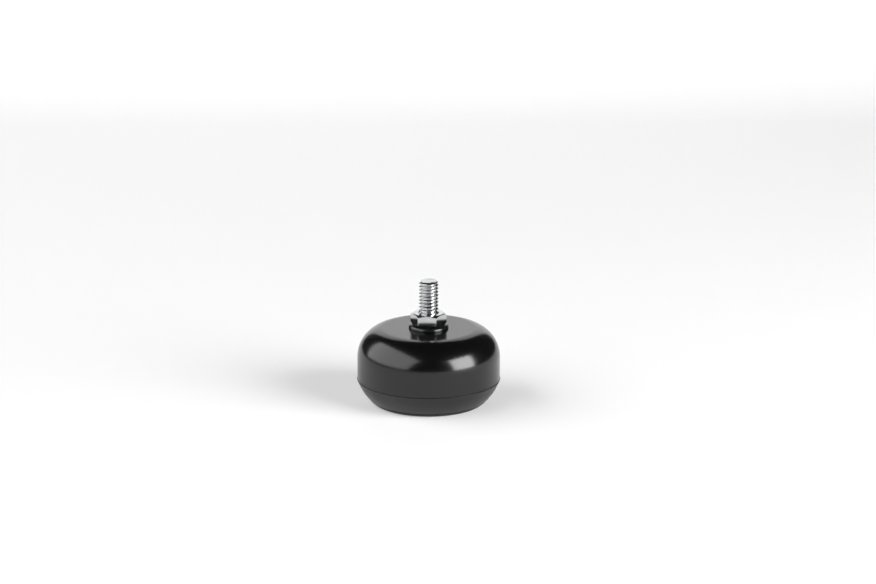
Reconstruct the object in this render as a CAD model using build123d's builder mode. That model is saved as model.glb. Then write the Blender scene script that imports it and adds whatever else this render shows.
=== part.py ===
"""Screw-in furniture leg: a low round foot with a threaded stud and a lock nut.

The foot is two plastic mouldings, a glossy shell over a matt base.  A hex bolt
is trapped head down between them, and its free end is the stud that screws into
the furniture.  A washer and a thin nut clamp the shell to the bolt.

Units are millimetres.  +Z runs up the stud, and the origin is the middle of the
flat underside that stands on the floor.
"""
from build123d import *
import os
from math import cos, radians, sin, tan

os.makedirs("parts", exist_ok=True)

# ---------------------------------------------------------------- foot, outside
body_diameter = 57.5          # straight side wall of the shell
lip_proud = 0.2               # rim of the base, outside the side wall
base_overhang = 6.95          # rim of the base, outside its flat on the floor
base_height = 9.7             # floor to the parting line
shell_height = 30.7           # floor to the flat top, on which the washer sits
crown_radius = 8.2            # shoulder arc next to the flat top
side_radius = 12.4            # shoulder arc next to the side wall
shoulder_angle = 26.5         # slope where the two shoulder arcs meet, degrees
base_draft = 24.0             # lean of the base's upper side, degrees
base_draft_height = 1.9       # height of that leaning stretch
floor_edge_radius = 1.6       # rounding round the flat underside

# ----------------------------------------------------------------- foot, inside
shell_wall = 3.0              # thickness of the shell
base_floor = 3.2              # thickness of the base under its hollow
pillar_height = 6.9           # floor to the bolt head that the base holds up
spigot_wall = 2.4             # ring of the base that plugs into the shell
spigot_height = 4.0           # how far it reaches past the parting line
boss_wall = 2.6               # plastic round the corners of the bolt head

# --------------------------------------------------------------------- fastener
stud_diameter = 7.94          # 5/16 inch thread, measured over its crests
thread_pitch = 1.411          # 18 threads to the inch
pitch_line_share = 0.3248     # crest to pitch line of a unified thread, as a share of its pitch
stud_reach = 19.5             # tip above the top of the shell
tip_chamfer = 0.5
head_across_flats = 12.7
head_height = 5.2
washer_diameter = 16.0
washer_thickness = 1.6
washer_edge_radius = 1.0      # rounding round its upper edge
nut_across_flats = 12.7
nut_thickness = 4.76
nut_turn = -5.2               # front flat of the nut off square, degrees
nut_countersink = 0.6         # bevel at both mouths of its bore
hex_face_share = 0.95         # end face of a hexagon, as a share of its flats
hex_chamfer_angle = 30.0      # corner chamfer on the nut and the bolt head
half_side = 30.0              # half the angle that one side of a hexagon spans

# ------------------------------------------------------------------- clearances
thread_clearance = 0.1        # nut round the stretch of bolt inside it, each side
hole_clearance = 0.25         # washer and boss round the stud, each side
pocket_clearance = 0.15       # pocket round the flats of the bolt head
spigot_clearance = 0.15       # spigot inside the shell wall

# ---------------------------------------------------------------- worked out
body_radius = body_diameter / 2
lip_radius = body_radius + lip_proud
floor_radius = lip_radius - base_overhang
stud_radius = stud_diameter / 2
shank_radius = stud_radius - pitch_line_share * thread_pitch
nut_bore_radius = shank_radius + thread_clearance
bolt_hole_radius = stud_radius + hole_clearance
washer_radius = washer_diameter / 2

nut_bottom = shell_height + washer_thickness
nut_top = nut_bottom + nut_thickness
tip_z = shell_height + stud_reach
boss_bottom = pillar_height              # the head ends flush with the boss
bearing_z = boss_bottom + head_height    # where the head bears on the boss

slope = radians(shoulder_angle)
crest_radius = body_radius - crown_radius * sin(slope) - side_radius * (1 - sin(slope))
wall_top = shell_height - crown_radius * (1 - cos(slope)) - side_radius * cos(slope)

cavity_radius = body_radius - shell_wall
ceiling_z = shell_height - shell_wall
spigot_radius = cavity_radius - spigot_clearance
pocket_across_flats = head_across_flats + 2 * pocket_clearance
boss_radius = pocket_across_flats / 2 / cos(radians(half_side)) + boss_wall


def shoulder_point(thickness):
    """Where the two shoulder arcs meet, on a skin this far inside the outside."""
    arc = crown_radius - thickness
    rise = shell_height - thickness - arc * (1 - cos(slope))
    return (crest_radius + arc * sin(slope), rise)


# The shell: a moulded cap with a flat top, a round shoulder and a straight
# side wall.  A boss under its middle takes the bolt, and a hexagonal
# pocket in the boss stops the head from turning.
with BuildPart() as foot_shell:
    with BuildSketch(Plane.XZ):
        with BuildLine():
            top = Line((0, shell_height), (crest_radius, shell_height))
            crown = TangentArc(top @ 1, shoulder_point(0), tangent=top % 1)
            side = TangentArc(crown @ 1, (body_radius, wall_top), tangent=crown % 1)
            wall = Line(side @ 1, (body_radius, base_height))
            rim = Line(wall @ 1, (cavity_radius, base_height))
            inner_wall = Line(rim @ 1, (cavity_radius, wall_top))
            inner_side = TangentArc(inner_wall @ 1, shoulder_point(shell_wall), tangent=(0, 1))
            inner_crown = TangentArc(inner_side @ 1, (crest_radius, ceiling_z), tangent=inner_side % 1)
            ceiling = Line(inner_crown @ 1, (0, ceiling_z))
            Line(ceiling @ 1, top @ 0)
        make_face()
    revolve(axis=Axis.Z)
    with BuildSketch(Plane.XY.offset(boss_bottom)):
        Circle(boss_radius)
    extrude(amount=ceiling_z - boss_bottom)
    with BuildSketch(Plane.XY.offset(boss_bottom)):
        Circle(bolt_hole_radius)
    extrude(amount=shell_height - boss_bottom, mode=Mode.SUBTRACT)
    with BuildSketch(Plane.XY.offset(boss_bottom)):
        RegularPolygon(pocket_across_flats / 2, 6, major_radius=False)
    extrude(amount=head_height, mode=Mode.SUBTRACT)

# The base: a bowl with a flat underside.  Its spigot plugs into the shell, its
# rim carries the shell's edge, and its pillar holds the bolt head in the pocket.
with BuildPart() as foot_base:
    with BuildSketch(Plane.XZ):
        with BuildLine():
            underside = Line((0, 0), (floor_radius, 0))
            lean = base_draft_height * tan(radians(base_draft))
            draft_foot = (lip_radius - lean, base_height - base_draft_height)
            draft = Line((lip_radius, base_height), draft_foot)
            TangentArc(draft @ 1, underside @ 1, tangent=draft % 1)
            land = Line(draft @ 0, (spigot_radius, base_height))
            spigot = Line(land @ 1, (spigot_radius, base_height + spigot_height))
            spigot_top = Line(spigot @ 1, (spigot_radius - spigot_wall, base_height + spigot_height))
            bowl = Line(spigot_top @ 1, (spigot_radius - spigot_wall, base_floor))
            bowl_floor = Line(bowl @ 1, (boss_radius, base_floor))
            pillar = Line(bowl_floor @ 1, (boss_radius, boss_bottom))
            pillar_top = Line(pillar @ 1, (0, boss_bottom))
            Line(pillar_top @ 1, underside @ 0)
        make_face()
    revolve(axis=Axis.Z)
    fillet(foot_base.edges().filter_by(GeomType.CIRCLE).group_by(Axis.Z)[0], floor_edge_radius)


def corner_chamfer(across_flats, end_z, inward):
    """Section of the ring that a lathe takes off a hexagon's corners at one end."""
    face = across_flats / 2 * hex_face_share
    corner = across_flats / 2 / cos(radians(half_side))
    drop = (corner - face) * tan(radians(hex_chamfer_angle))
    return [(face, end_z), (corner, end_z), (corner, end_z + inward * drop)]


# The bolt: a hexagon head in the boss's pocket, a plain shank, and the thread.
# The thread is a plain cylinder over its crests above the nut.  Inside the nut,
# where the two threads share their depth, the bolt keeps its pitch diameter.
with BuildPart() as hex_bolt:
    with BuildSketch(Plane.XY.offset(boss_bottom)):
        RegularPolygon(head_across_flats / 2, 6, major_radius=False)
    extrude(amount=head_height)
    with BuildSketch(Plane.XZ):
        with BuildLine():
            Polyline(*corner_chamfer(head_across_flats, boss_bottom, 1), close=True)
        make_face()
    revolve(axis=Axis.Z, mode=Mode.SUBTRACT)
    with BuildSketch(Plane.XY.offset(bearing_z)):
        Circle(shank_radius)
    extrude(amount=nut_top - bearing_z)
    with BuildSketch(Plane.XY.offset(nut_top)):
        Circle(stud_radius)
    extrude(amount=tip_z - nut_top)
    chamfer(hex_bolt.edges().group_by(Axis.Z)[-1], tip_chamfer)

# The washer: a flat black ring between the nut and the shell, round at its
# upper edge.
with BuildPart() as washer:
    with BuildSketch(Plane.XY.offset(shell_height)):
        Circle(washer_radius)
        Circle(bolt_hole_radius, mode=Mode.SUBTRACT)
    extrude(amount=washer_thickness)
    fillet(washer.edges().group_by(Axis.Z)[-1].sort_by(SortBy.RADIUS)[-1], washer_edge_radius)

# The lock nut: a thin hexagon, chamfered at its corners and countersunk at both
# mouths of its bore.
with BuildPart() as lock_nut:
    with BuildSketch(Plane.XY.offset(nut_bottom)):
        RegularPolygon(nut_across_flats / 2, 6, major_radius=False, rotation=nut_turn)
    extrude(amount=nut_thickness)
    with BuildSketch(Plane.XZ):
        with BuildLine():
            Polyline(*corner_chamfer(nut_across_flats, nut_bottom, 1), close=True)
        make_face()
        with BuildLine():
            Polyline(*corner_chamfer(nut_across_flats, nut_top, -1), close=True)
        make_face()
        with BuildLine():
            Polyline(
                (0, nut_bottom),
                (nut_bore_radius + nut_countersink, nut_bottom),
                (nut_bore_radius, nut_bottom + nut_countersink),
                (nut_bore_radius, nut_top - nut_countersink),
                (nut_bore_radius + nut_countersink, nut_top),
                (0, nut_top),
                close=True,
            )
        make_face()
    revolve(axis=Axis.Z, mode=Mode.SUBTRACT)

pieces = {
    "foot_shell": foot_shell,
    "foot_base": foot_base,
    "hex_bolt": hex_bolt,
    "washer": washer,
    "lock_nut": lock_nut,
}
for name, piece in pieces.items():
    piece.part.label = name
    export_step(piece.part, f"parts/{name}.step")
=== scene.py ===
"""Looks of the screw-in furniture leg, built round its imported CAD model.

Metres, +Z up the stud, origin in the middle of the underside.  The pieces come
in the order in which the leg is put together, and the studio comes last.
"""
from math import atan2, cos, hypot, pi, radians, sin, sqrt, tan

import bmesh
import bpy
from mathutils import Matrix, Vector


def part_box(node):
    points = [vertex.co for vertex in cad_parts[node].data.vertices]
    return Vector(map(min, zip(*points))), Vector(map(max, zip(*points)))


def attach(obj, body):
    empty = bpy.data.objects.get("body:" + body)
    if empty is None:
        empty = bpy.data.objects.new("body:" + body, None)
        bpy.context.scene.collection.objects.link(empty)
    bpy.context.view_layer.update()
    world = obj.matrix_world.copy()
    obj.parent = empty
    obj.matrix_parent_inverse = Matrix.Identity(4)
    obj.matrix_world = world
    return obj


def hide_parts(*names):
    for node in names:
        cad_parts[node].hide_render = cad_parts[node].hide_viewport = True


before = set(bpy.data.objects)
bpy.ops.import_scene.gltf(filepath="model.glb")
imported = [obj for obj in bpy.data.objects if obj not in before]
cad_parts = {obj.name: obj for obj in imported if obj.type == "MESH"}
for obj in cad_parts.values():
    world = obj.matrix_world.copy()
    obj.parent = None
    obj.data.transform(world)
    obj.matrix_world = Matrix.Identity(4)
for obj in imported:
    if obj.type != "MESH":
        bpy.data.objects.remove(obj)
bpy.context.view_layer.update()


# ---------------------------------------------------------------- foot shell
# The upper moulding of the foot: a cap of glossy black ABS with a flat top and
# a round shoulder, injection moulded in a polished tool.  A boss under its
# middle has a hexagonal pocket that keeps the bolt head from turning.

MM = 0.001

shell_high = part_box("foot_shell")[1]
body_radius = shell_high[0]
spigot_height = 4.0 * MM                     # of the base, inside the shell
parting_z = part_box("foot_base")[1][2] - spigot_height
top_z = shell_high[2]

crown_radius = 8.2 * MM
side_radius = 12.4 * MM
shoulder_slope = radians(26.5)
shell_wall = 3.0 * MM
top_radius = (body_radius - crown_radius * sin(shoulder_slope)
              - side_radius * (1 - sin(shoulder_slope)))
wall_top = top_z - crown_radius * (1 - cos(shoulder_slope)) - side_radius * cos(shoulder_slope)
cavity_radius = body_radius - shell_wall
ceiling_z = top_z - shell_wall
boss_radius = 10.106 * MM
boss_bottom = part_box("hex_bolt")[0][2]
head_height = 5.2 * MM
bearing_z = boss_bottom + head_height
pocket_flat = 6.5 * MM                       # from the axis to a flat of the pocket
bolt_hole_radius = 4.22 * MM

fine_round = 0.15 * MM                       # rounds of moulded edges, by their size
small_round = 0.2 * MM
plain_round = 0.3 * MM
large_round = 0.4 * MM
merge_distance = 1e-7


def curve(start, heading, end, steps):
    """Points after start on the arc that leaves it along heading (radians) and
    ends at end, and the heading at its end."""
    across = atan2(end[1] - start[1], end[0] - start[0])
    turn = 2 * (across - heading)
    radius = hypot(end[0] - start[0], end[1] - start[1]) / (2 * sin(turn / 2))
    centre = (start[0] - radius * sin(heading), start[1] + radius * cos(heading))
    points = []
    for i in range(1, steps + 1):
        now = heading + turn * i / steps
        points.append((centre[0] + radius * sin(now), centre[1] - radius * cos(now)))
    return points, heading + turn


def eased(outline, closed=True, steps=4):
    """The outline with a small round at each point that names a radius (r, z, radius)."""
    result = []
    count = len(outline)
    for i, point in enumerate(outline):
        if len(point) == 2:
            result.append(point)
            continue
        here = Vector(point[:2])
        back = (Vector(outline[i - 1][:2]) - here).normalized()
        ahead = (Vector(outline[(i + 1) % count][:2]) - here).normalized()
        half = back.angle(ahead) / 2
        reach = point[2] / tan(half)
        middle = here + (back + ahead).normalized() * (point[2] / sin(half))
        first = here + back * reach - middle
        last = here + ahead * reach - middle
        sweep = first.angle(last)
        result.append(tuple(here + back * (reach + point[2])))
        for k in range(steps + 1):
            share = k / steps
            spoke = (first * sin(sweep * (1 - share)) + last * sin(sweep * share)) / sin(sweep)
            result.append(tuple(middle + spoke))
        result.append(tuple(here + ahead * (reach + point[2])))
    return result


def turned(name, outline_at, segments, start=0.0, closed=True):
    """A mesh turned about Z from its outline, points (r, z), at each angle."""
    verts, faces = [], []
    for i in range(segments):
        angle = start + 2 * pi * i / segments
        outline = outline_at(angle)
        count = len(outline)
        verts += [(r * cos(angle), r * sin(angle), z) for r, z in outline]
        for k in range(count if closed else count - 1):
            here, there = i * count, (i + 1) % segments * count
            n = (k + 1) % count
            if outline[k][0] > 0 or outline[n][0] > 0:
                faces.append((here + k, there + k, there + n, here + n))
    mesh = bpy.data.meshes.new(name)
    mesh.from_pydata(verts, [], faces)
    return mesh


def as_piece(name, material, meshes, sharp=35):
    """One solid from meshes that share edges: merged, outward and smooth shaded."""
    joined = bmesh.new()
    for mesh in meshes:
        joined.from_mesh(mesh)
    bmesh.ops.remove_doubles(joined, verts=joined.verts, dist=merge_distance)
    bmesh.ops.dissolve_degenerate(joined, edges=joined.edges, dist=1e-8)
    bmesh.ops.recalc_face_normals(joined, faces=joined.faces)
    mesh = bpy.data.meshes.new(name)
    joined.to_mesh(mesh)
    joined.free()
    for used in meshes:
        bpy.data.meshes.remove(used)
    mesh.materials.append(material)
    mesh.shade_smooth()
    mesh.set_sharp_from_angle(angle=radians(sharp))
    piece = bpy.data.objects.new(name, mesh)
    bpy.context.scene.collection.objects.link(piece)
    return piece


def colour(code):
    """Linear colour of an sRGB hex code."""
    parts = [int(code[i:i + 2], 16) / 255 for i in (1, 3, 5)]
    return [p / 12.92 if p <= 0.04045 else ((p + 0.055) / 1.055) ** 2.4 for p in parts] + [1]


def add(tree, kind, values=None, links=None, **settings):
    """A node with its settings, the values of its inputs and their links."""
    node = tree.nodes.new(kind)
    for key, value in settings.items():
        setattr(node, key, value)
    for key, value in (values or {}).items():
        node.inputs[key].default_value = value
    for key, socket in (links or {}).items():
        tree.links.new(socket, node.inputs[key])
    return node


def fresh_material(name):
    """A material with an empty node tree."""
    material = bpy.data.materials.new(name)
    material.use_nodes = True
    material.node_tree.nodes.clear()
    return material


# ABS from a polished tool: deep black and glossy, with the faint long waves of
# the moulded skin and the hairlines of handling, which only soften its gloss.
shell_plastic = fresh_material("abs_gloss_black_moulded")
tree = shell_plastic.node_tree
place = add(tree, "ShaderNodeTexCoord")
waves = add(tree, "ShaderNodeTexNoise", {"Scale": 1 / (9 * MM), "Detail": 1.0},
            {"Vector": place.outputs["Object"]})
hairlines = add(tree, "ShaderNodeTexNoise", {"Scale": 1 / (1.2 * MM), "Detail": 4.0},
                {"Vector": place.outputs["Object"]})
gloss = add(tree, "ShaderNodeMapRange",
            {"From Min": 0.3, "From Max": 0.7, "To Min": 0.17, "To Max": 0.22},
            {"Value": hairlines.outputs["Fac"]})
skin = add(tree, "ShaderNodeBump", {"Strength": 0.15, "Distance": 0.02 * MM},
           {"Height": waves.outputs["Fac"]})
shader = add(tree, "ShaderNodeBsdfPrincipled",
             {"Base Color": colour("#070707"), "IOR": 1.53},
             {"Roughness": gloss.outputs["Result"], "Normal": skin.outputs["Normal"]})
add(tree, "ShaderNodeOutputMaterial", links={"Surface": shader.outputs["BSDF"]})


def off_flat(angle, turn=0.0):
    """Angle between a direction and the middle of the nearest flat of a hexagon."""
    side = 2 * pi / 6
    return (angle - turn + side / 2) % side - side / 2


def shell_outline(angle):
    """Section of the shell: the flat top, the shoulder, the wall, the inside."""
    pocket = pocket_flat / cos(off_flat(angle, turn=pi / 6))
    shoulder = (top_radius + crown_radius * sin(shoulder_slope),
                top_z - crown_radius * (1 - cos(shoulder_slope)))
    inner_shoulder = (top_radius + (crown_radius - shell_wall) * sin(shoulder_slope),
                      ceiling_z - (crown_radius - shell_wall) * (1 - cos(shoulder_slope)))
    points = [(bolt_hole_radius, top_z, plain_round)]
    points += [(bolt_hole_radius + (top_radius - bolt_hole_radius) * k / 8, top_z)
               for k in range(1, 9)]
    crown, heading = curve(points[-1], 0.0, shoulder, 20)
    side, heading = curve(shoulder, heading, (body_radius, wall_top), 40)
    points += crown + side
    points += [(body_radius, (wall_top + parting_z) / 2), (body_radius, parting_z, fine_round),
               (cavity_radius, parting_z, fine_round), (cavity_radius, wall_top)]
    inner_side, heading = curve(points[-1], pi / 2, inner_shoulder, 10)
    inner_crown, heading = curve(inner_shoulder, heading, (top_radius, ceiling_z), 10)
    points += inner_side + inner_crown
    points += [(boss_radius, ceiling_z, large_round), (boss_radius, boss_bottom, plain_round),
               (pocket, boss_bottom, small_round), (pocket, bearing_z),
               (bolt_hole_radius, bearing_z, small_round)]
    return eased(points)


foot_shell = as_piece("shell", shell_plastic, [turned("shell", shell_outline, 240)])
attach(foot_shell, "root")
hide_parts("foot_shell")


# ---------------------------------------------------------------- hex bolt
# A 5/16 inch hexagon bolt, head down in the shell's pocket: cold-headed steel
# with a rolled thread, bright zinc plated.  The free end of its thread is the
# stud that screws into the furniture.

bolt_low, bolt_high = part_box("hex_bolt")
tip_z = bolt_high[2]
stud_radius = 3.97 * MM
thread_pitch = 1.411 * MM
bolt_depth_share = 0.6134                    # depths of a unified thread, in pitches
nut_depth_share = 0.5413
pitch_line_share = 0.6495                    # crest to pitch line, both sides together
shank_radius = stud_radius - pitch_line_share * thread_pitch / 2
thread_length = 22.2 * MM
thread_start = tip_z - thread_length
shank_ring_z = 20 * MM                       # a ring of points along the plain shank
rows_per_turn = 24
tip_chamfer = 0.5 * MM
head_flat = 6.35 * MM                        # from the axis to a flat of the head
face_share = 0.95                            # end face of the hexagon, of that
corner_chamfer = tan(radians(30))
bolt_segments = 120
nut_segments = 360


def thread_tree(name):
    """Geometry Nodes for one helical thread: a grid wound round the axis in step
    with the helix, so that rows of points run along its crests."""
    tree = bpy.data.node_groups.new(name, "GeometryNodeTree")
    tree.interface.new_socket("Geometry", in_out="OUTPUT", socket_type="NodeSocketGeometry")
    for size in ("Crest Radius", "Root Radius", "Pitch", "Bottom", "Top", "Bottom Radius",
                 "Top Radius", "Run-out", "Side", "Start", "Cap"):
        tree.interface.new_socket(size, in_out="INPUT", socket_type="NodeSocketFloat")
    for count in ("Around", "Rows Per Turn"):
        tree.interface.new_socket(count, in_out="INPUT", socket_type="NodeSocketInt")
    tree.interface.new_socket("Material", in_out="INPUT", socket_type="NodeSocketMaterial")
    given = add(tree, "NodeGroupInput").outputs

    def maths(operation, *terms):
        """The result of a Math node on sockets and numbers."""
        values = {i: t for i, t in enumerate(terms) if isinstance(t, (int, float))}
        links = {i: t for i, t in enumerate(terms) if not isinstance(t, (int, float))}
        return add(tree, "ShaderNodeMath", values, links, operation=operation).outputs[0]

    row = maths("DIVIDE", given["Pitch"], given["Rows Per Turn"])
    length = maths("SUBTRACT", given["Top"], given["Bottom"])
    rows = maths("ADD", maths("CEIL", maths("DIVIDE", length, row)),
                 maths("ADD", given["Rows Per Turn"], 1))
    grid = add(tree, "GeometryNodeMeshGrid", {"Size X": 1.0, "Size Y": 1.0},
               {"Vertices X": maths("ADD", given["Around"], 1),
                "Vertices Y": maths("ADD", rows, 1)})
    place = add(tree, "ShaderNodeSeparateXYZ",
                links={0: add(tree, "GeometryNodeInputPosition").outputs[0]}).outputs
    turn = maths("ADD", place[0], 0.5)
    along = maths("MULTIPLY", maths("ADD", place[1], 0.5), maths("MULTIPLY", rows, row))
    wound = maths("ADD", maths("SUBTRACT", given["Bottom"], given["Pitch"]),
                  maths("MULTIPLY_ADD", turn, given["Pitch"], along))
    height = maths("MAXIMUM", maths("MINIMUM", wound, given["Top"]), given["Bottom"])

    turns_up = maths("DIVIDE", height, given["Pitch"])
    phase = maths("FRACT", maths("ADD", maths("SUBTRACT", turns_up, turn), given["Start"]))
    from_crest = maths("MULTIPLY", maths("ABSOLUTE", maths("SUBTRACT", phase, 0.5)), 2.0)
    depth = maths("SUBTRACT", given["Crest Radius"], given["Root Radius"])
    flank = maths("DIVIDE", maths("MULTIPLY", depth, 2 * tan(radians(30))), given["Pitch"])
    cut = add(tree, "ShaderNodeMapRange", {"From Min": 0.125},
              {"Value": from_crest, "From Max": maths("ADD", flank, 0.125)}).outputs[0]
    thread = maths("SUBTRACT", given["Crest Radius"], maths("MULTIPLY", cut, depth))

    above = maths("SUBTRACT", height, given["Bottom"])
    below = maths("SUBTRACT", given["Top"], height)
    fade = add(tree, "ShaderNodeMapRange", None, {"Value": above, "From Max": given["Run-out"]},
               interpolation_type="SMOOTHSTEP").outputs[0]
    faded = maths("ADD", given["Bottom Radius"],
                  maths("MULTIPLY", fade, maths("SUBTRACT", thread, given["Bottom Radius"])))
    side = given["Side"]
    low_cone = maths("ADD", given["Bottom Radius"], maths("MULTIPLY", side, above))
    high_cone = maths("ADD", given["Top Radius"], maths("MULTIPLY", side, below))
    kept = maths("MINIMUM", maths("MULTIPLY", side, faded),
                 maths("MINIMUM", maths("MULTIPLY", side, low_cone),
                       maths("MULTIPLY", side, high_cone)))
    last_row = maths("GREATER_THAN", place[1], maths("SUBTRACT", 0.5, maths("DIVIDE", 0.5, rows)))
    open_end = maths("SUBTRACT", 1.0, maths("MULTIPLY", last_row, given["Cap"]))
    radius = maths("MULTIPLY", maths("MULTIPLY", side, kept), open_end)
    angle = maths("MULTIPLY", turn, 2 * pi)
    spot = add(tree, "ShaderNodeCombineXYZ", None,
               {0: maths("MULTIPLY", radius, maths("COSINE", angle)),
                1: maths("MULTIPLY", radius, maths("SINE", angle)), 2: height})
    moved = add(tree, "GeometryNodeSetPosition", None, {"Geometry": grid.outputs["Mesh"],
                                                        "Position": spot.outputs[0]})
    merged = add(tree, "GeometryNodeMergeByDistance", {"Distance": merge_distance},
                 {"Geometry": moved.outputs[0]})
    real = add(tree, "GeometryNodeRealizeInstances", None, {"Geometry": merged.outputs[0]})
    painted = add(tree, "GeometryNodeSetMaterial", None,
                  {"Geometry": real.outputs[0], "Material": given["Material"]})
    add(tree, "NodeGroupOutput", None, {"Geometry": painted.outputs[0]})
    return tree


thread_nodes = thread_tree("rolled_thread")


def threaded(name, material, **sizes):
    """The mesh that the thread's nodes make at these sizes."""
    holder = bpy.data.objects.new(name, bpy.data.meshes.new(name))
    bpy.context.scene.collection.objects.link(holder)
    modifier = holder.modifiers.new("thread", "NODES")
    modifier.node_group = thread_nodes
    sizes["Material"] = material
    for socket in thread_nodes.interface.items_tree:
        if socket.in_out == "INPUT":
            modifier[socket.identifier] = sizes[socket.name.replace(" ", "_").replace("-", "_")]
    seen = bpy.context.evaluated_depsgraph_get()
    mesh = bpy.data.meshes.new_from_object(holder.evaluated_get(seen))
    holder.modifiers.remove(modifier)
    bpy.data.objects.remove(holder)
    mesh.materials.clear()
    return mesh


# Bright zinc on steel: a thin electroplated skin, near neutral and shiny, whose
# brightness varies a little with the bath and is duller in fine scratches.
bright_zinc = fresh_material("steel_bright_zinc_plated")
tree = bright_zinc.node_tree
place = add(tree, "ShaderNodeTexCoord")
bath = add(tree, "ShaderNodeTexNoise", {"Scale": 1 / (1.5 * MM), "Detail": 3.0},
           {"Vector": place.outputs["Object"]})
grain = add(tree, "ShaderNodeTexNoise", {"Scale": 1 / (0.25 * MM), "Detail": 2.0},
            {"Vector": place.outputs["Object"]})
tint = add(tree, "ShaderNodeMix", {6: colour("#b4b5b6"), 7: colour("#cccdce")},
           {0: bath.outputs["Fac"]}, data_type="RGBA")
sheen = add(tree, "ShaderNodeMapRange",
            {"From Min": 0.3, "From Max": 0.7, "To Min": 0.07, "To Max": 0.15},
            {"Value": grain.outputs["Fac"]})
plating = add(tree, "ShaderNodeBump", {"Strength": 0.12, "Distance": 0.01 * MM},
              {"Height": grain.outputs["Fac"]})
shader = add(tree, "ShaderNodeBsdfPrincipled", {"Metallic": 1.0},
             {"Base Color": tint.outputs[2], "Roughness": sheen.outputs["Result"],
              "Normal": plating.outputs["Normal"]})
add(tree, "ShaderNodeOutputMaterial", links={"Surface": shader.outputs["BSDF"]})


def head_outline(angle):
    """Section of the head, chamfered at its lower end, and of the plain shank."""
    flat = head_flat / cos(off_flat(angle, turn=pi / 6))
    face = head_flat * face_share
    return eased([(0.0, boss_bottom), (face, boss_bottom),
                  (flat, boss_bottom + (flat - face) * corner_chamfer),
                  (flat, bearing_z), (shank_radius, bearing_z, plain_round),
                  (shank_radius, shank_ring_z), (shank_radius, thread_start)], closed=False)


stud_thread = threaded(
    "stud_thread", bright_zinc, Crest_Radius=stud_radius,
    Root_Radius=stud_radius - bolt_depth_share * thread_pitch, Pitch=thread_pitch,
    Bottom=thread_start, Top=tip_z, Bottom_Radius=shank_radius,
    Top_Radius=stud_radius - tip_chamfer, Run_out=1.5 * thread_pitch, Side=1.0, Start=0.0, Cap=1.0,
    Around=bolt_segments, Rows_Per_Turn=rows_per_turn)
head = turned("head", head_outline, bolt_segments, closed=False)
hex_bolt = as_piece("bolt", bright_zinc, [head, stud_thread], sharp=62)
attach(hex_bolt, "root")
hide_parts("hex_bolt")


# ---------------------------------------------------------------- foot base
# The lower moulding of the foot: a bowl of satin black polypropylene.  Its
# spigot plugs into the shell, and a pillar in its middle backs the bolt head.

base_low, base_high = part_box("foot_base")
lip_radius = base_high[0]
floor_radius = lip_radius - 6.95 * MM
draft_height = 1.9 * MM
draft_lean = draft_height * tan(radians(24))
lip_edge = 0.06 * MM
base_floor = 3.2 * MM
spigot_radius = cavity_radius - 0.15 * MM
spigot_inside = spigot_radius - 2.4 * MM
spigot_top = base_high[2]
floor_round = 1.6 * MM
bowl_round = 0.8 * MM


def base_outline(angle):
    """Section of the base: its underside, round flank, lip, spigot and pillar."""
    draft_foot = (lip_radius - draft_lean, parting_z - draft_height)
    flank, heading = curve(draft_foot, atan2(-draft_height, -draft_lean), (floor_radius, 0.0), 24)
    flank.pop()
    points = [(0.0, 0.0), (floor_radius / 2, 0.0), (floor_radius, 0.0, floor_round)]
    points += list(reversed(flank)) + [draft_foot]
    points += [(lip_radius, parting_z, lip_edge), (spigot_radius, parting_z, fine_round),
               (spigot_radius, spigot_top, large_round), (spigot_inside, spigot_top, large_round),
               (spigot_inside, base_floor, bowl_round), (boss_radius, base_floor, large_round),
               (boss_radius, boss_bottom, plain_round), (boss_radius / 2, boss_bottom),
               (0.0, boss_bottom)]
    return eased(points)


# Polypropylene from a spark-eroded tool: black, satin, with the fine even grain
# that the tool leaves, drawn at 0.8 mm so that it shows.
base_plastic = fresh_material("polypropylene_satin_black_moulded")
tree = base_plastic.node_tree
place = add(tree, "ShaderNodeTexCoord")
grain = add(tree, "ShaderNodeTexNoise", {"Scale": 1 / (0.8 * MM), "Detail": 1.0},
            {"Vector": place.outputs["Object"]})
wear = add(tree, "ShaderNodeTexNoise", {"Scale": 1 / (6 * MM), "Detail": 3.0},
           {"Vector": place.outputs["Object"]})
satin = add(tree, "ShaderNodeMapRange",
            {"From Min": 0.3, "From Max": 0.7, "To Min": 0.3, "To Max": 0.4},
            {"Value": wear.outputs["Fac"]})
texture = add(tree, "ShaderNodeBump", {"Strength": 0.15, "Distance": 0.02 * MM},
              {"Height": grain.outputs["Fac"]})
shader = add(tree, "ShaderNodeBsdfPrincipled", {"Base Color": colour("#0e0e0e"), "IOR": 1.49},
             {"Roughness": satin.outputs["Result"], "Normal": texture.outputs["Normal"]})
add(tree, "ShaderNodeOutputMaterial", links={"Surface": shader.outputs["BSDF"]})

foot_base = as_piece("base", base_plastic, [turned("base", base_outline, 240)])
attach(foot_base, "root")
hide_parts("foot_base")


# ---------------------------------------------------------------- washer
# A black nylon washer between the nut and the shell, moulded with a round upper
# edge, so that the nut does not mark the plastic.

washer_low, washer_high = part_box("washer")
washer_round = 1.0 * MM                      # its upper edge


def washer_outline(angle):
    """Section of the washer, with its round upper edge and its eased lower one."""
    return eased([(bolt_hole_radius, washer_low[2], small_round),
                  (washer_high[0], washer_low[2], fine_round),
                  (washer_high[0], washer_high[2], washer_round),
                  (bolt_hole_radius, washer_high[2], small_round)], steps=8)


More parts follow.
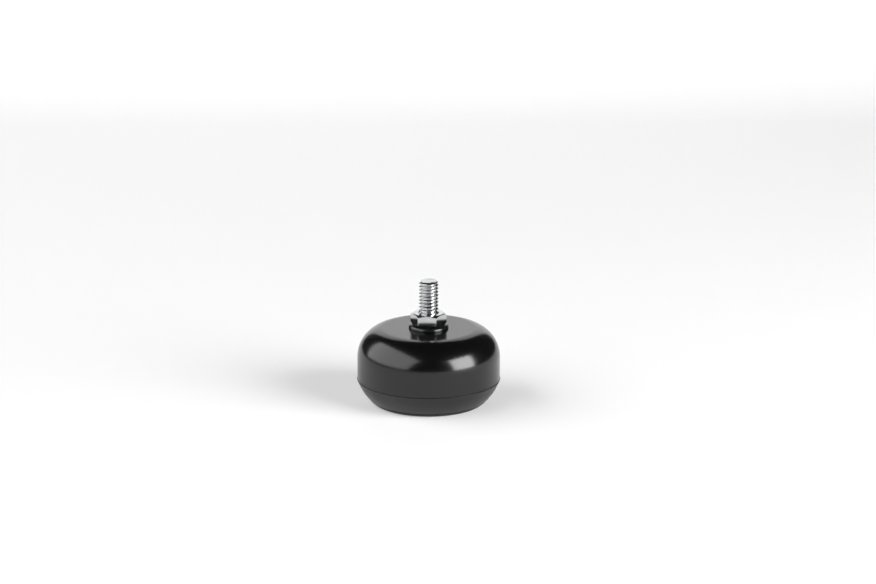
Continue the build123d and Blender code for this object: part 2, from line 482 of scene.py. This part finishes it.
# Moulded nylon: black and shiny, a little softer in its gloss than the shell.
washer_nylon = fresh_material("nylon_black_moulded")
tree = washer_nylon.node_tree
place = add(tree, "ShaderNodeTexCoord")
flow = add(tree, "ShaderNodeTexNoise", {"Scale": 1 / (2 * MM), "Detail": 2.0},
           {"Vector": place.outputs["Object"]})
gloss = add(tree, "ShaderNodeMapRange",
            {"From Min": 0.3, "From Max": 0.7, "To Min": 0.14, "To Max": 0.22},
            {"Value": flow.outputs["Fac"]})
shader = add(tree, "ShaderNodeBsdfPrincipled", {"Base Color": colour("#101010"), "IOR": 1.53},
             {"Roughness": gloss.outputs["Result"]})
add(tree, "ShaderNodeOutputMaterial", links={"Surface": shader.outputs["BSDF"]})

washer = as_piece("nylon_washer", washer_nylon, [turned("washer", washer_outline, 160)])
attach(washer, "root")
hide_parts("washer")


# ---------------------------------------------------------------- lock nut
# A thin hexagon nut that clamps the shell to the bolt: cold-formed steel,
# chamfered at both ends, tapped, and zinc plated like the bolt.

nut_low, nut_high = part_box("lock_nut")
nut_turn = radians(-5.2)
nut_flat = 6.35 * MM
nut_corner = 0.25 * MM                       # round of its upright edges
nut_fit = 0.05 * MM                          # between its thread and the bolt's, each side
nut_face_round = 0.05 * MM
nut_edge_round = 0.04 * MM
bore_clearance = 0.1 * MM
countersink = 0.6 * MM
mouth_radius = shank_radius + bore_clearance + countersink


def nut_outline(angle):
    """Section of the nut outside its bore, from its lower mouth to its upper one."""
    spoke = (nut_flat - nut_corner) / cos(radians(30))
    aside = abs(off_flat(angle, turn=nut_turn))  # from a corner
    reach = nut_corner ** 2 - (spoke * sin(aside)) ** 2
    edge = nut_flat / cos(radians(30) - aside)
    if reach > 0:
        edge = min(edge, spoke * cos(aside) + sqrt(reach))
    face = nut_flat * face_share
    drop = (edge - face) * corner_chamfer
    return eased([(mouth_radius, nut_low[2]), (face, nut_low[2], nut_face_round),
                  (edge, nut_low[2] + drop, nut_edge_round),
                  (edge, nut_high[2] - drop, nut_edge_round),
                  (face, nut_high[2], nut_face_round),
                  (mouth_radius, nut_high[2])], closed=False, steps=2)


nut_thread = threaded(
    "nut_thread", bright_zinc, Crest_Radius=stud_radius + nut_fit,
    Root_Radius=stud_radius + nut_fit - nut_depth_share * thread_pitch,
    Pitch=thread_pitch, Bottom=nut_low[2], Top=nut_high[2], Bottom_Radius=mouth_radius,
    Top_Radius=mouth_radius, Run_out=1e-5 * MM, Side=-1.0, Start=0.0, Cap=0.0,
    Around=nut_segments, Rows_Per_Turn=rows_per_turn)
lock_nut = as_piece("nut", bright_zinc,
                    [turned("nut", nut_outline, nut_segments, closed=False), nut_thread], sharp=25)
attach(lock_nut, "root")
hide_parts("lock_nut")


# ---------------------------------------------------------------- studio
# A white table top, a sheet of the same white that curves up behind the leg, a
# softbox to the right, a large dim one to the left, and a dark room behind.

table_reach = 1.8
white_lift = 0.2
sheet_width = 0.62
sheet_start = 0.5
sheet_back = 0.75
sheet_height = 0.8
sheet_steps = 24


def stage_piece(name, points, faces):
    """A floor or backdrop, which is not part of the leg."""
    mesh = bpy.data.meshes.new(name)
    mesh.from_pydata(points, [], faces)
    mesh.shade_smooth()
    mesh.materials.append(paper_white)
    made = bpy.data.objects.new(name, mesh)
    bpy.context.scene.collection.objects.link(made)
    return made


# Matt white paper.  What the lens sees of it, straight, in a gloss or through
# something clear, is lifted a little to white and keeps the shadow on it.
paper_white = fresh_material("paper_matt_white")
tree = paper_white.node_tree
path = add(tree, "ShaderNodeLightPath")
direct = add(tree, "ShaderNodeMath", None,
             {0: path.outputs["Is Camera Ray"], 1: path.outputs["Is Glossy Ray"]},
             operation="MAXIMUM")
seen = add(tree, "ShaderNodeMath", None,
           {0: direct.outputs[0], 1: path.outputs["Is Transmission Ray"]}, operation="MAXIMUM")
matt = add(tree, "ShaderNodeBsdfDiffuse", {"Color": colour("#e7e7e7")})
strength = add(tree, "ShaderNodeMath", {1: white_lift}, {0: seen.outputs[0]}, operation="MULTIPLY")
lift = add(tree, "ShaderNodeEmission", {"Color": colour("#ffffff")},
           {"Strength": strength.outputs[0]})
both = add(tree, "ShaderNodeAddShader", None, {0: matt.outputs[0], 1: lift.outputs[0]})
add(tree, "ShaderNodeOutputMaterial", links={"Surface": both.outputs[0]})

table_corners = [(x * table_reach, y * table_reach, 0.0)
                 for x, y in ((-1, -1), (1, -1), (1, 1), (-1, 1))]
stage_piece("table", table_corners, [(0, 1, 2, 3)])
bend = sheet_back - sheet_start
sheet_angles = [pi / 2 * i / sheet_steps for i in range(sheet_steps + 1)]
sheet_line = [(sheet_start + bend * sin(a), bend - bend * cos(a)) for a in sheet_angles]
sheet_line.append((sheet_back, sheet_height))
sheet_points = [(x, y, z) for y, z in sheet_line for x in (-sheet_width / 2, sheet_width / 2)]
stage_piece("backdrop", sheet_points,
            [(2 * i, 2 * i + 1, 2 * i + 3, 2 * i + 2) for i in range(len(sheet_line) - 1)])


def softbox(name, azimuth, elevation, distance, width, height, radiance):
    """A soft rectangular lamp, placed by its direction from the leg in degrees
    (azimuth from straight behind the leg towards the right) and facing the leg."""
    lamp = bpy.data.lights.new(name, "AREA")
    lamp.shape = "RECTANGLE"
    lamp.size = width
    lamp.size_y = height
    lamp.energy = 4 * width * height * radiance
    box = bpy.data.objects.new(name, lamp)
    az, el = radians(azimuth), radians(elevation)
    where = Vector((sin(az) * cos(el), cos(az) * cos(el), sin(el)))
    box.location = where * distance
    box.rotation_euler = where.to_track_quat("Z", "Y").to_euler()
    bpy.context.scene.collection.objects.link(box)
    return box


softbox("softbox_right", 121, 20, 1.3, 0.88, 0.85, 8.5)
softbox("softbox_left", -104, 32, 1.4, 2.7, 1.35, 2.0)

world = bpy.data.worlds.new("room")
world.use_nodes = True
world.node_tree.nodes.clear()
room = add(world.node_tree, "ShaderNodeBackground", {"Color": colour("#ffffff"), "Strength": 0.03})
add(world.node_tree, "ShaderNodeOutputWorld", links={"Surface": room.outputs[0]})
bpy.context.scene.world = world

# The camera: a long lens a little above the leg, aimed so that the leg stands
# left of the middle and below it.
camera_distance = 1.5
camera_elevation = radians(17.1)
frame_width = 0.3539                         # across the frame at the leg
sensor_width = 36
aim_right = 3.8 * MM                         # from the leg's axis to the frame's middle
aim_up = 34.5 * MM
leg_point = Vector((0.0, 0.0, parting_z))
towards = Vector((0.0, -cos(camera_elevation), sin(camera_elevation)))
up = Vector((0.0, sin(camera_elevation), cos(camera_elevation)))
aim = leg_point + Vector((aim_right, 0, 0)) + up * aim_up

lens = bpy.data.cameras.new("lens")
lens.sensor_width = sensor_width
lens.lens = sensor_width * camera_distance / frame_width
lens.clip_end = 20
camera = bpy.data.objects.new("camera", lens)
camera.location = leg_point + towards * camera_distance
camera.rotation_euler = (camera.location - aim).to_track_quat("Z", "Y").to_euler()
bpy.context.scene.collection.objects.link(camera)
bpy.context.scene.camera = camera
bpy.context.scene.view_settings.view_transform = "Standard"

bpy.context.view_layer.update()
